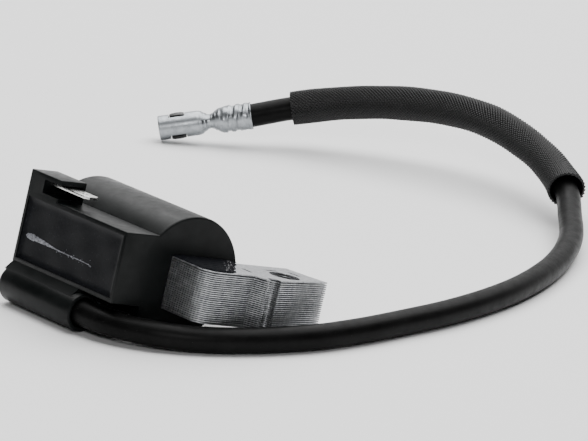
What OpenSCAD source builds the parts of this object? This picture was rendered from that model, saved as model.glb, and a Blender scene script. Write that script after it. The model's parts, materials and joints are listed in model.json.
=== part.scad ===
// Flywheel-magneto ignition coil with its spark plug lead, lying on a flat surface.
// The coil has its own axes: x along the winding, y from the potted face to the poles, z up the core.

/* [Case] */
// Length of the case and winding can
case_l = 45.5; // [42:0.5:50]
// Height of the potted face
case_h = 19.5; // [18.5:0.5:21]
// Wall thickness of the moulding
wall = 1.2; // [1:0.1:1.5]
// Outside radius of the winding can
can_r = 16; // [15.8:0.1:16.3]
// Width of the hood over the stop-switch tab
hood_w = 13.6; // [12:0.1:16]
// Depth of the hood
hood_d = 8.8; // [8.5:0.1:9.5]
// Height of the hood's top above the underside of the case
hood_top = 25.5; // [25:0.1:27]

/* [Lead outlet] */
// Outside radius of the lead boss
boss_r = 5.2; // [5:0.1:5.4]
// Length of the boss
boss_l = 33; // [30:0.5:36]

/* [Core] */
// Thickness of the lamination stack
core_t = 14.4; // [13.6:0.1:14.6]
// Width of the bar inside the windings
bar_w = 13.6; // [12:0.1:13.8]
// Radius of each mounting hole
hole_r = 4.2; // [3.2:0.1:4.3]
// Radius of the flywheel that the pole faces follow
flywheel_r = 140; // [100:5:180]

/* [Lead] */
// Outside radius of the lead
lead_r = 3.5; // [3.3:0.1:3.5]
// Radius of the stranded conductor
strand_r = 0.9; // [0.6:0.1:0.9]
// Outside radius of the woven sleeve
sleeve_r = 5.3; // [5:0.1:5.4]

/* [Plug terminal] */
// Length of the terminal
term_l = 28; // [27.5:0.5:30]
// Radius of the socket that takes the plug's nut
socket_r = 3.25; // [3.2:0.05:3.3]
// Outside radius of the crimped end
crimp_r = 4.1; // [4.05:0.05:4.3]

/* [Hidden] */
$fn = 64;
eps = 0.01;
fit = 0.05;

// Places in the coil's own axes
can_y = 23.6;
can_z = 9.6;
can_wall = 1;
boss_y = 1.5;
boss_z = -5.8;
web_y = 7;
web_z = 0.5;
web_end = 30.7;
skirt_y = 9.7;
skirt_z = -3.2;
skirt_w = 8;
skirt_h = 5;
core_mid_z = core_t / 2;
bar_near_y = can_y - bar_w / 2;
bar_over = 3.3;
hole_x = 12;
hole_y = 46;
tip_in_x = 1.5;
tip_in_y = 55.2;
tip_out_x = 15.4;
flywheel_y = tip_in_y + sqrt(pow(flywheel_r, 2) - pow(case_l / 2 + tip_in_x, 2));
tip_out_y = flywheel_y - sqrt(pow(flywheel_r, 2) - pow(case_l / 2 + tip_out_x, 2));

// The coil rests on its boss and on the outer corners of its two pole tips
rest_dy = tip_out_y - boss_y;
tilt = atan2(-boss_z, rest_dy) + asin(boss_r / norm([rest_dy, boss_z]));
rest_z = tip_out_y * sin(tilt);
origin_y = 27.75;

// Hood pocket and stop-switch tab
pocket_x = 6.6;
pocket_z = 20.4;
roof = 1.4;
hood_back = 1;
tab_w = 4.8;
tab_t = 0.8;
tab_y = 5;
tab_z = 22.7;
tab_root_x = 2.4;
tab_tip_x = 22.2;
tab_foot_z = 9;
tab_root_w = 2;

// Circuit board inside the case
board_x = 5;
board_z = 2.2;
board_w = 35;
board_h = 15;
board_y = 6.2;
board_t = 1.2;
potting_y = 0.6;
potting_back_y = 10.4;

// Winding layers outside the bar
primary_former = 0.7;
primary_wire = 1;
secondary_former = 0.7;
secondary_wire = 1.1;
layer_1 = fit + primary_former;
layer_2 = layer_1 + primary_wire;
layer_3 = layer_2 + secondary_former;
layer_4 = layer_3 + secondary_wire;
winding_x = wall + 0.7;
winding_l = case_l - 2 * winding_x;
flange = 0.9;
chambers = 6;
chamber_pitch = (winding_l - flange) / chambers;
wire_inset = 0.1;

// Lead outlet
lead_root_x = 12.75;
bore_r = lead_r + 0.1;
mouth_l = 1;
mouth_flare = 0.7;
spike_r = 0.6;
spike_x = 6;
spike_tip_x = 24;
strand_hole_r = strand_r + 0.2;
hv_wire_r = 0.5;
hv_wire_x = 8;
hv_wire_gap = 0.2;
hv_bend_z = 3.2;
hv_wire_l = 10.9;

// Route of the lead's centre line, from inside the boss to inside the crimp
LEAD_ROUTE = [
    [-10, -27.4, 5.2], [2, -27.4, 5.2], [11, -27.4, 5.2], [18, -26.4, 5], [25, -23.2, 4.5],
    [32, -17.8, 4], [38, -10.5, 3.6], [43, -1.5, 3.5], [47, 9.5, 3.5], [49.5, 22, 3.5],
    [49.5, 37, 3.5], [48, 52, 3.5], [46, 67, 3.5], [42.5, 82, 3.5], [37.5, 97, 3.5],
    [31, 111, 3.5], [23, 124.5, 3.5], [14, 137, 4], [3.5, 148.5, 5], [-9, 158.5, 7],
    [-21.5, 167.5, 10], [-36.5, 173.5, 13.5], [-51.5, 176, 16.5], [-67, 175.5, 19], [-82, 172, 19.5],
    [-96.5, 165, 18.5], [-110.5, 156, 16], [-122.5, 145, 12.5], [-128.9, 134.8, 9.7], [-133.7, 128.7, 8]
];
SLEEVE_FIRST = 20;
SLEEVE_LAST = 27;
lead_sides = 12;
strand_sides = 8;
sleeve_bore = 4.2;

// Plug terminal, whose open end rests on the surface and whose crimped end is raised
term_x = -145.8;
term_y = 113.3;
term_z = 3.8;
term_heading = 51.8;
term_rise = 12.2;
tube_r = 3.7;
tube_l = 12.4;
neck_r = 2.5;
neck_bore = 2;
neck_from = 15;
neck_to = 16.2;
crimp_from = 19.4;
groove_first = 20.6;
groove_pitch = 2.6;
groove_depth = 0.3;
groove_slope = 0.4;
groove_w = 1.5;
window_from = 3.2;
window_to = 8.2;
window_w = 5;
window_turn = 13;
past_tube = 10;
jaw_gap = 0.35;
jaw_in_r = 2.95;
jaw_out_r = 3.75;

// ---- helpers ----

// Puts the coil's own axes into the resting pose
module in_coil_pose() {
    translate([-case_l / 2, -origin_y, rest_z])
        rotate([-tilt, 0, 0])
            children();
}

// Cylinder along the coil's x axis
module x_rod(r, from_x, to_x, y, z) {
    translate([from_x, y, z])
        rotate([0, 90, 0])
            cylinder(r = r, h = to_x - from_x);
}

// Outline in the coil's y and z, extruded along its x axis
module x_prism(from_x, to_x) {
    translate([from_x, 0, 0])
        rotate([90, 0, 90])
            linear_extrude(to_x - from_x)
                children();
}

// Rectangle with round corners, centred
module round_rect(w, h, r) {
    square([w - 2 * r, h], center = true);
    square([w, h - 2 * r], center = true);
    for (sx = [-1, 1], sy = [-1, 1])
        translate([sx * (w / 2 - r), sy * (h / 2 - r)])
            circle(r);
}

// Section of the bar, grown by a layer thickness
module bar_section(grow) {
    translate([can_y, core_mid_z])
        round_rect(bar_w + 2 * grow, core_t + 2 * grow, grow + 1);
}

// Plain bar section with square corners and a clearance
module bar_hole(clear) {
    translate([bar_near_y - clear, -clear])
        square([bar_w + 2 * clear, core_t + 2 * clear]);
}

// Tube section around the bar between two layer thicknesses
module layer_section(inner, outer) {
    difference() {
        bar_section(outer);
        bar_section(inner);
    }
}

// Tube section that fits straight onto the bar
module former_section(outer) {
    difference() {
        bar_section(outer);
        bar_hole(fit);
    }
}

function unit(v) = v / norm(v);
function tangent(path, i) = unit(path[min(i + 1, len(path) - 1)] - path[max(i - 1, 0)]);
function side(t) = unit(cross([0, 0, 1], t));
function ring(p, t, r, n) =
    [for (k = [0 : n - 1]) p + r * (cos(360 * k / n) * side(t) + sin(360 * k / n) * cross(t, side(t)))];
function rings(path, r, n) = [for (i = [0 : len(path) - 1]) each ring(path[i], tangent(path, i), r, n)];
function skin(m, n, base) =
    [for (i = [0 : m - 2], k = [0 : n - 1])
        let(here = base + i * n, next = here + n, turn = (k + 1) % n)
            [here + k, next + k, next + turn, here + turn]];
function flipped(faces) = [for (f = faces) [f[3], f[2], f[1], f[0]]];
function cap(n, base) = [for (k = [0 : n - 1]) base + k];
function reversed(f) = [for (k = [len(f) - 1 : -1 : 0]) f[k]];
function rim(n, outer, inner) =
    [for (k = [0 : n - 1]) [outer + k, outer + (k + 1) % n, inner + (k + 1) % n, inner + k]];

// Solid rod swept along a path
module swept_rod(path, r, n) {
    m = len(path);
    polyhedron(
        points = rings(path, r, n),
        faces = concat(skin(m, n, 0), [cap(n, 0)], [reversed(cap(n, (m - 1) * n))]));
}

// Open tube swept along a path, with as many sides inside as outside
module swept_tube(path, r_out, r_in, n) {
    m = len(path);
    inner = m * n;
    last = (m - 1) * n;
    polyhedron(
        points = concat(rings(path, r_out, n), rings(path, r_in, n)),
        faces = concat(skin(m, n, 0), flipped(skin(m, n, inner)),
                       rim(n, 0, inner), flipped(rim(n, last, inner + last))));
}

// ---- case ----

module boss_outside() {
    nose = 2;
    x_rod(boss_r, nose, boss_l, boss_y, boss_z);
    translate([0, boss_y, boss_z])
        rotate([0, 90, 0])
            rotate_extrude()
                intersection() {
                    union() {
                        square([boss_r - nose, nose]);
                        translate([boss_r - nose, nose])
                            circle(nose);
                    }
                    square([boss_r, nose]);
                }
    reach = norm([boss_y, boss_z]);
    web_l = sqrt(pow(reach, 2) - pow(boss_r, 2));
    web_angle = atan2(boss_z, boss_y) - asin(boss_r / reach);
    x_prism(0, web_end)
        polygon([
            [0, web_z], [0, 0], [web_l * cos(web_angle), web_l * sin(web_angle)],
            [boss_y, boss_z], [web_y - 1.5, boss_z + 2], [web_y, web_z]
        ]);
}

module case_outside() {
    cube([case_l, can_y, case_h]);
    x_rod(can_r, 0, case_l, can_y, can_z);
    translate([0, skirt_y, skirt_z])
        cube([case_l, skirt_w, skirt_h]);
    translate([0, 0, case_h - eps])
        cube([hood_w, hood_d, hood_top - case_h + eps]);
    boss_outside();
}

module case_inside() {
    translate([wall, -eps, wall])
        cube([case_l - 2 * wall, can_y, case_h - 2 * wall]);
    x_rod(can_r - can_wall, wall, case_l - wall, can_y, can_z);
}

module hood_pocket() {
    translate([pocket_x, -eps, pocket_z])
        cube([hood_w, hood_d - hood_back + eps, hood_top - roof - pocket_z]);
}

module housing() {
    color([0.13, 0.13, 0.14])
        in_coil_pose()
            difference() {
                case_outside();
                case_inside();
                hood_pocket();
                x_prism(-eps, case_l + eps)
                    bar_hole(fit);
                tab_shape(fit);
                x_rod(bore_r, lead_root_x, boss_l + eps, boss_y, boss_z);
                translate([boss_l - mouth_l, boss_y, boss_z])
                    rotate([0, 90, 0])
                        cylinder(r1 = bore_r, r2 = bore_r + mouth_flare, h = mouth_l + eps);
                x_rod(spike_r + fit, spike_x, lead_root_x + eps, boss_y, boss_z);
                translate([hv_wire_x, boss_y, boss_z])
                    cylinder(r = hv_wire_r + fit, h = wall - boss_z + eps);
            }
}

module potting() {
    color([0.10, 0.11, 0.14])
        in_coil_pose()
            difference() {
                translate([wall + fit, potting_y, wall + fit])
                    cube([case_l - 2 * (wall + fit), potting_back_y - potting_y, case_h - 2 * (wall + fit)]);
                board_shape(fit);
                transistor_shape(fit);
                capacitor_shape(fit);
                resistor_shapes(fit);
                diode_shape(fit);
                tab_shape(fit);
                hv_wire_shape(fit);
                ground_shape(2 * fit);
            }
}

// ---- core ----

// Outline of the right-hand leg, with x measured from the end of the case
module leg_outline() {
    corner = 4.5;
    neck_x = 15.6;
    neck_end_y = 32.6;
    shoulder_x = 19.4;
    shoulder_y = 34.8;
    shoulder_end_y = 39.2;
    notch_x = 18.7;
    notch_y = 37.1;
    notch_r = 1.8;
    past_tip = 3;
    difference() {
        union() {
            translate([neck_x - corner, bar_near_y + corner])
                circle(corner);
            polygon([
                [bar_over, bar_near_y], [neck_x - corner, bar_near_y],
                [neck_x - corner, bar_near_y + corner], [neck_x, bar_near_y + corner],
                [neck_x, neck_end_y], [shoulder_x, shoulder_y], [shoulder_x, shoulder_end_y],
                [tip_out_x, tip_out_y], [tip_out_x, tip_out_y + past_tip], [tip_in_x, tip_out_y + past_tip],
                [tip_in_x, can_y + bar_w / 2], [bar_over, can_y + bar_w / 2]
            ]);
        }
        translate([notch_x, notch_y])
            circle(notch_r);
        translate([notch_x, notch_y - notch_r])
            square(2 * notch_r);
        translate([hole_x, hole_y])
            circle(hole_r);
        translate([-case_l / 2, flywheel_y])
            circle(flywheel_r, $fn = 360);
    }
}

// Pressed marks that lock the laminations of a leg together
module interlocks() {
    mark_l = 4;
    mark_w = 1;
    mark_depth = 0.3;
    marks = [[9.5, 35, 0], [6.4, 45.8, 90], [8.8, 52.2, 12]];
    for (m = marks)
        translate([m[0], m[1], core_t])
            rotate([0, 0, m[2]])
                cube([mark_l, mark_w, 2 * mark_depth], center = true);
}

module leg_stack() {
    difference() {
        linear_extrude(core_t)
            leg_outline();
        interlocks();
    }
}

module core_bar() {
    color([0.62, 0.63, 0.65])
        in_coil_pose()
            x_prism(-bar_over + fit, case_l + bar_over - fit)
                bar_hole(0);
}

module right_leg_stack() {
    color([0.75, 0.76, 0.78])
        in_coil_pose()
            translate([case_l, 0, 0])
                leg_stack();
}

module left_leg_stack() {
    color([0.75, 0.76, 0.78])
        in_coil_pose()
            mirror([1, 0, 0])
                leg_stack();
}

// ---- windings ----

module primary_bobbin() {
    color([0.85, 0.83, 0.76])
        in_coil_pose() {
            x_prism(winding_x, winding_x + winding_l)
                former_section(layer_1);
            for (x = [winding_x, winding_x + winding_l - flange])
                x_prism(x, x + flange)
                    former_section(layer_2 - fit);
        }
}

module primary_winding() {
    color([0.72, 0.38, 0.16])
        in_coil_pose()
            x_prism(winding_x + flange + fit, winding_x + winding_l - flange - fit)
                layer_section(layer_1 + fit, layer_2 - fit);
}

module secondary_bobbin() {
    color([0.80, 0.79, 0.74])
        in_coil_pose() {
            x_prism(winding_x, winding_x + winding_l)
                layer_section(layer_2, layer_3);
            for (i = [0 : chambers])
                x_prism(winding_x + i * chamber_pitch, winding_x + i * chamber_pitch + flange)
                    layer_section(layer_2, layer_4);
        }
}

module secondary_winding() {
    color([0.64, 0.30, 0.13])
        in_coil_pose()
            for (i = [0 : chambers - 1])
                x_prism(winding_x + i * chamber_pitch + flange + fit,
                        winding_x + (i + 1) * chamber_pitch - fit)
                    layer_section(layer_3 + fit, layer_4 - wire_inset);
}

// ---- electronics in the case ----

module board_shape(grow) {
    translate([board_x - grow, board_y - grow, board_z - grow])
        cube([board_w + 2 * grow, board_t + 2 * grow, board_h + 2 * grow]);
}

module circuit_board() {
    color([0.12, 0.36, 0.20])
        in_coil_pose()
            difference() {
                board_shape(0);
                hv_wire_shape(fit);
            }
}

module transistor_shape(grow) {
    body_x = 26;
    body_y = 3;
    body_z = 4.5;
    body_w = 10;
    body_h = 9;
    leg_l = 2.5;
    leg_t = 0.5;
    leg_w = 0.8;
    leg_y = board_y - 2 * leg_t;
    leg_z = 6.2;
    leg_pitch = 2.4;
    translate([body_x - grow, body_y - grow, body_z - grow])
        cube([body_w + 2 * grow, board_y - body_y + grow, body_h + 2 * grow]);
    for (i = [0 : 2])
        translate([body_x - leg_l - grow, leg_y - grow, leg_z + i * leg_pitch - grow])
            cube([leg_l + grow + eps, leg_t + 2 * grow, leg_w + 2 * grow]);
}

module power_transistor() {
    color([0.16, 0.16, 0.17])
        in_coil_pose()
            transistor_shape(0);
}

module capacitor_shape(grow) {
    corner = [12, 2.6, 9.5];
    w = 8;
    h = 6;
    translate(corner - [grow, grow, grow])
        cube([w + 2 * grow, board_y - corner[1] + grow, h + 2 * grow]);
}

module capacitor() {
    color([0.70, 0.35, 0.12])
        in_coil_pose()
            capacitor_shape(0);
}

module resistor_shapes(grow) {
    body_r = 1;
    from_x = 13;
    to_x = 19;
    for (z = [3.6, 6.4])
        x_rod(body_r + grow, from_x - grow, to_x + grow, board_y - body_r, z);
}

module resistors() {
    color([0.35, 0.55, 0.70])
        in_coil_pose()
            resistor_shapes(0);
}

module diode_shape(grow) {
    body_r = 1.3;
    body_l = 5;
    translate([9, board_y - body_r, 4 - grow])
        cylinder(r = body_r + grow, h = body_l + 2 * grow);
}

module diode() {
    color([0.15, 0.15, 0.16])
        in_coil_pose()
            diode_shape(0);
}

// Flat blade under the hood, with its root bent down to the board
module tab_shape(grow) {
    tip = 1.2;
    translate([0, 0, tab_z - grow])
        linear_extrude(tab_t + 2 * grow)
            polygon([
                [tab_root_x - grow, tab_y - tab_w / 2 - grow], [tab_tip_x - tip, tab_y - tab_w / 2 - grow],
                [tab_tip_x + grow, tab_y - tab_w / 2 + tip], [tab_tip_x + grow, tab_y + tab_w / 2 - tip],
                [tab_tip_x - tip, tab_y + tab_w / 2 + grow], [tab_root_x - grow, tab_y + tab_w / 2 + grow]
            ]);
    translate([tab_root_x - grow, tab_y - tab_root_w / 2 - grow, tab_foot_z - grow])
        cube([tab_t + 2 * grow, tab_root_w + 2 * grow, tab_z - tab_foot_z + grow + eps]);
}

module kill_terminal() {
    catch_x = 18.2;
    catch_r = 0.8;
    color([0.86, 0.87, 0.88])
        in_coil_pose()
            difference() {
                tab_shape(0);
                translate([catch_x, tab_y, tab_z - tab_t])
                    cylinder(r = catch_r, h = 3 * tab_t);
            }
}

// Strip from the back of the board, round the end of the windings to the bar
module ground_shape(grow) {
    strip_t = 0.3;
    strip_w = 3;
    strip_z = 6;
    lap = 4;
    back_y = board_y + board_t + fit;
    bend_x = case_l - wall - 3 * fit;
    translate([board_x + board_w - lap - grow, back_y - grow, strip_z - grow])
        cube([bend_x - board_x - board_w + lap + 2 * grow, strip_t + 2 * grow, strip_w + 2 * grow]);
    translate([bend_x - strip_t - grow, back_y - grow, strip_z - grow])
        cube([strip_t + 2 * grow, bar_near_y - 2 * fit - back_y + 2 * grow, strip_w + 2 * grow]);
}

module ground_strip() {
    color([0.80, 0.62, 0.28])
        in_coil_pose()
            ground_shape(0);
}

module hv_wire_shape(grow) {
    foot_z = boss_z + spike_r + hv_wire_gap;
    translate([hv_wire_x, boss_y, foot_z])
        cylinder(r = hv_wire_r + grow, h = hv_bend_z - foot_z);
    translate([hv_wire_x, boss_y, hv_bend_z])
        sphere(r = hv_wire_r + grow);
    translate([hv_wire_x, boss_y, hv_bend_z])
        rotate([-90, 0, 0])
            cylinder(r = hv_wire_r + grow, h = hv_wire_l + grow);
}

module hv_wire() {
    color([0.75, 0.40, 0.18])
        in_coil_pose()
            hv_wire_shape(0);
}

// ---- lead ----

module lead_spike() {
    point = 3;
    point_r = 0.15;
    color([0.80, 0.62, 0.28])
        in_coil_pose() {
            x_rod(spike_r, spike_x + fit, spike_tip_x - point, boss_y, boss_z);
            translate([spike_tip_x - point, boss_y, boss_z])
                rotate([0, 90, 0])
                    cylinder(r1 = spike_r, r2 = point_r, h = point);
        }
}

module lead_insulation() {
    color([0.09, 0.09, 0.10])
        swept_tube(LEAD_ROUTE, lead_r, strand_hole_r, lead_sides);
}

module lead_conductor() {
    route = [for (i = [2 : len(LEAD_ROUTE) - 1]) LEAD_ROUTE[i]];
    color([0.72, 0.45, 0.25])
        swept_rod(route, strand_r, strand_sides);
}

module woven_sleeve() {
    route = [for (i = [SLEEVE_FIRST : SLEEVE_LAST]) LEAD_ROUTE[i]];
    color([0.16, 0.16, 0.17])
        swept_tube(route, sleeve_r, sleeve_bore, lead_sides);
}

// ---- plug terminal ----

// Turned shape about the terminal's own axis, from its open end
module terminal_turned() {
    end = term_l;
    taper = 0.5;
    floor_r = crimp_r - groove_depth;
    grooves = [for (i = [0 : 2]) groove_first + i * groove_pitch];
    rotate_extrude()
        polygon(concat(
            [[socket_r, 0], [tube_r, 0], [tube_r, tube_l], [neck_r, neck_from], [neck_r, neck_to],
             [crimp_r, crimp_from]],
            [for (t = grooves) each [[crimp_r, t], [floor_r, t + groove_slope],
                                     [floor_r, t + groove_w - groove_slope], [crimp_r, t + groove_w]]],
            [[crimp_r, end], [lead_r + fit, end], [lead_r + fit, crimp_from + taper],
             [neck_bore, neck_to], [neck_bore, neck_from], [socket_r, tube_l - taper]]));
}

module on_terminal_axis() {
    translate([term_x, term_y, term_z])
        rotate([0, 0, term_heading])
            rotate([0, 90 - term_rise, 0])
                rotate([0, 0, -window_turn])
                    children();
}

module terminal_barrel() {
    color([0.80, 0.82, 0.84])
        on_terminal_axis()
            difference() {
                terminal_turned();
                translate([-past_tube, -window_w / 2, window_from])
                    cube([2 * past_tube, window_w, window_to - window_from]);
            }
}

// One half of the spring clip, in the upper window of the terminal
module clip_jaw() {
    jaw_w = window_w - 2 * jaw_gap;
    intersection() {
        translate([0, 0, window_from + jaw_gap])
            linear_extrude(window_to - window_from - 2 * jaw_gap)
                difference() {
                    circle(jaw_out_r);
                    circle(jaw_in_r);
                }
        translate([-past_tube, -jaw_w / 2, 0])
            cube([past_tube, jaw_w, term_l]);
    }
}

module clip_jaw_upper() {
    color([0.10, 0.10, 0.11])
        on_terminal_axis()
            clip_jaw();
}

module clip_jaw_lower() {
    color([0.10, 0.10, 0.11])
        on_terminal_axis()
            mirror([1, 0, 0])
                clip_jaw();
}

housing();
potting();
core_bar();
right_leg_stack();
left_leg_stack();
primary_bobbin();
primary_winding();
secondary_bobbin();
secondary_winding();
circuit_board();
power_transistor();
capacitor();
resistors();
diode();
kill_terminal();
ground_strip();
hv_wire();
lead_spike();
lead_insulation();
lead_conductor();
woven_sleeve();
terminal_barrel();
clip_jaw_upper();
clip_jaw_lower();
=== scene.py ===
"""Ignition coil: the looks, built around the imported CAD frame.

Shapes of the coil are in millimetres in its own axes, and COIL_POSE takes them to the frame's metres.
"""
import json
import random
from math import asin, atan2, cos, degrees, pi, radians, sin, sqrt

import bmesh
import bpy
from mathutils import Matrix, Vector


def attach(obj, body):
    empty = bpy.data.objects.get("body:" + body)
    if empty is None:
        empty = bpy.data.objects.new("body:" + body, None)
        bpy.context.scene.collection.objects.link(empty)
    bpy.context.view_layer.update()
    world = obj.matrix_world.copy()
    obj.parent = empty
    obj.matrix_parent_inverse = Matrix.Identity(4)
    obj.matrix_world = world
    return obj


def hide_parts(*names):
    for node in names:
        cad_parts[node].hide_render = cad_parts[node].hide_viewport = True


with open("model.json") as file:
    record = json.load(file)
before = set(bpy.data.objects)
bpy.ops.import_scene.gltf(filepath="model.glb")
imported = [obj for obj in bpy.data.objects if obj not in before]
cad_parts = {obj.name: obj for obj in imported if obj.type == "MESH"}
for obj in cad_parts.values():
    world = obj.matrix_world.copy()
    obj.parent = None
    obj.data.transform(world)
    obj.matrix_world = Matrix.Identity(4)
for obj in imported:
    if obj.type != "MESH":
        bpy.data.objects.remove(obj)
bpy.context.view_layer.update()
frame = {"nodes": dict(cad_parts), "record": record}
MM = 0.001

# ---- the coil's own axes, from the two leg holes that the record gives as mounts ----

HOLE_MID = (22.75, 46.0, 7.2)
mounts = {m["name"]: m for m in frame["record"]["mounts"]}
hole_right = Vector(mounts["right_leg_hole"]["pos_m"])
hole_left = Vector(mounts["left_leg_hole"]["pos_m"])
AXIS_X = (hole_right - hole_left).normalized()
AXIS_Z = Vector(mounts["right_leg_hole"]["axis"]).normalized()
AXIS_Y = AXIS_Z.cross(AXIS_X)
COIL_ORIGIN = (hole_right + hole_left) / 2 - MM * (
    HOLE_MID[0] * AXIS_X + HOLE_MID[1] * AXIS_Y + HOLE_MID[2] * AXIS_Z)
COIL_POSE = Matrix((AXIS_X, AXIS_Y, AXIS_Z)).transposed().to_4x4() @ Matrix.Scale(MM, 4)
COIL_POSE.translation = COIL_ORIGIN
COIL_TILT = atan2(AXIS_Z.y, AXIS_Z.z)

# ---- dimensions shared with the CAD model, in the coil's own axes ----

CASE_L, CASE_H, WALL = 45.5, 19.5, 1.2
CAN_R, CAN_Y, CAN_Z = 16.0, 23.6, 9.6
FIT = 0.05
HOOD_W, HOOD_D, HOOD_TOP = 13.6, 8.8, 25.5
POCKET_X, POCKET_Z, HOOD_ROOF, HOOD_BACK = 6.6, 20.4, 1.4, 1.0
HEEL_LOW, HEEL_HIGH = (9.7, -3.2), (17.7, 2.0)
BOSS_R, BOSS_L, BOSS_Y, BOSS_Z, BORE_ROOT_X = 5.2, 33.0, 1.5, -5.8, 12.7
WEB_END = 30.7
WEB_TANGENT = (-2.13, -2.08)
TAB_Y, TAB_Z, TAB_W, TAB_T, TAB_ROOT_X, TAB_TIP_X, TAB_FOOT_Z = 5.0, 22.7, 4.8, 0.8, 2.4, 22.2, 9.0
CORE_T, BAR_W, BAR_OVER = 14.4, 13.6, 3.3
HOLE_R, HOLE_X, HOLE_Y = 4.2, 12.0, 46.0
FLYWHEEL_R, TIP_IN, TIP_OUT_X = 140.0, (1.5, 55.2), 15.4
LEAD_R, SLEEVE_R = 3.5, 5.3
TERM_L, SHEET_T, TERM_HEADING, TERM_RISE, WINDOW_TURN = 28.0, 0.45, 51.8, 12.2, 13.0
TERM_OPEN_END = Vector((-0.1458, 0.1133, 0.0038))

LEAD_ROUTE = [Vector(p) for p in (
    (-0.0100, -0.0274, 0.0052), (0.0020, -0.0274, 0.0052), (0.0110, -0.0274, 0.0052),
    (0.0180, -0.0264, 0.0050), (0.0250, -0.0232, 0.0045), (0.0320, -0.0178, 0.0040),
    (0.0380, -0.0105, 0.0036), (0.0430, -0.0015, 0.0035), (0.0470, 0.0095, 0.0035),
    (0.0495, 0.0220, 0.0035), (0.0495, 0.0370, 0.0035), (0.0480, 0.0520, 0.0035),
    (0.0460, 0.0670, 0.0035), (0.0425, 0.0820, 0.0035), (0.0375, 0.0970, 0.0035),
    (0.0310, 0.1110, 0.0035), (0.0230, 0.1245, 0.0035), (0.0140, 0.1370, 0.0040),
    (0.0035, 0.1485, 0.0050), (-0.0090, 0.1585, 0.0070), (-0.0215, 0.1675, 0.0100),
    (-0.0365, 0.1735, 0.0135), (-0.0515, 0.1760, 0.0165), (-0.0670, 0.1755, 0.0190),
    (-0.0820, 0.1720, 0.0195), (-0.0965, 0.1650, 0.0185), (-0.1105, 0.1560, 0.0160),
    (-0.1225, 0.1450, 0.0125), (-0.1289, 0.1348, 0.0097), (-0.1337, 0.1287, 0.0080))]
SLEEVE_FIRST, SLEEVE_LAST = 20, 27


# ---- camera ----

def place_camera():
    """A long lens from far off, a little above the table, rolled a few degrees."""
    stand = Vector((1.1891, -0.9094, 0.4313))
    aim = Vector((-0.0277, 0.0724, 0.010))
    roll = radians(4.26)
    forward = (aim - stand).normalized()
    right = forward.cross(Vector((0, 0, 1))).normalized()
    up = right.cross(forward)
    x = cos(roll) * right + sin(roll) * up
    y = cos(roll) * up - sin(roll) * right
    data = bpy.data.cameras.new("camera")
    data.sensor_width = 36
    data.lens = 354.2
    data.clip_end = 20
    camera = bpy.data.objects.new("camera", data)
    camera.matrix_world = Matrix.Translation(stand) @ Matrix((x, y, -forward)).transposed().to_4x4()
    bpy.context.scene.collection.objects.link(camera)
    bpy.context.scene.camera = camera


# ---- material helpers: feature sizes are in millimetres ----

def new_material(name, color, rough, metal=0.0, specular=0.5):
    """A Principled material whose constant values sit on the shader's own sockets."""
    material = bpy.data.materials.new(name)
    material.use_nodes = True
    tree = material.node_tree
    shader = tree.nodes["Principled BSDF"]
    shader.inputs["Base Color"].default_value = (*color, 1)
    shader.inputs["Roughness"].default_value = rough
    shader.inputs["Metallic"].default_value = metal
    shader.inputs["Specular IOR Level"].default_value = specular
    return material, tree, shader


def position(tree, stretch=(1, 1, 1), in_coil=False):
    """Object coordinates, stretched along each axis; in_coil turns them to the coil's own axes first."""
    place = tree.nodes.new("ShaderNodeTexCoord").outputs["Object"]
    if in_coil:
        turn = tree.nodes.new("ShaderNodeMapping")
        turn.inputs["Rotation"].default_value = (COIL_TILT, 0, 0)
        tree.links.new(place, turn.inputs["Vector"])
        place = turn.outputs["Vector"]
    scale = tree.nodes.new("ShaderNodeMapping")
    scale.inputs["Scale"].default_value = stretch
    tree.links.new(place, scale.inputs["Vector"])
    return scale.outputs["Vector"]


def noise(tree, size_mm, detail=3.0, stretch=(1, 1, 1), in_coil=False, rough=0.55):
    node = tree.nodes.new("ShaderNodeTexNoise")
    node.inputs["Scale"].default_value = 1 / (size_mm * MM)
    node.inputs["Detail"].default_value = detail
    node.inputs["Roughness"].default_value = rough
    tree.links.new(position(tree, stretch, in_coil), node.inputs["Vector"])
    return node.outputs["Fac"]


def specks(tree, size_mm, share):
    """1 on scattered specks of about size_mm, 0 elsewhere; share is how many cells hold one."""
    cells = tree.nodes.new("ShaderNodeTexVoronoi")
    cells.inputs["Scale"].default_value = 1 / (4 * size_mm * MM)
    tree.links.new(position(tree), cells.inputs["Vector"])
    near = remap(tree, cells.outputs["Distance"], 0.10, 0.16, 1, 0)
    chosen = remap(tree, cells.outputs["Color"], 1 - share, 1 - share + 0.01, 0, 1)
    both = tree.nodes.new("ShaderNodeMath")
    both.operation = "MULTIPLY"
    tree.links.new(near, both.inputs[0])
    tree.links.new(chosen, both.inputs[1])
    return both.outputs[0]


def remap(tree, value, low, high, to_low, to_high):
    node = tree.nodes.new("ShaderNodeMapRange")
    node.inputs["From Min"].default_value = low
    node.inputs["From Max"].default_value = high
    node.inputs["To Min"].default_value = to_low
    node.inputs["To Max"].default_value = to_high
    tree.links.new(value, node.inputs["Value"])
    return node.outputs["Result"]


def mix_color(tree, factor, first, second):
    """first and second are colours or sockets."""
    node = tree.nodes.new("ShaderNodeMix")
    node.data_type = "RGBA"
    tree.links.new(factor, node.inputs["Factor"])
    for name, value in (("A", first), ("B", second)):
        socket = [s for s in node.inputs if s.name == name and s.type == "RGBA"][0]
        if isinstance(value, bpy.types.NodeSocket):
            tree.links.new(value, socket)
        else:
            socket.default_value = (*value, 1)
    return [s for s in node.outputs if s.type == "RGBA"][0]


def add_bump(tree, shader, height, depth_mm, strength=1.0):
    node = tree.nodes.new("ShaderNodeBump")
    node.inputs["Strength"].default_value = strength
    node.inputs["Distance"].default_value = depth_mm * MM
    tree.links.new(height, node.inputs["Height"])
    if shader.inputs["Normal"].is_linked:
        tree.links.new(shader.inputs["Normal"].links[0].from_socket, node.inputs["Normal"])
    tree.links.new(node.outputs["Normal"], shader.inputs["Normal"])


# ---- materials ----

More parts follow.
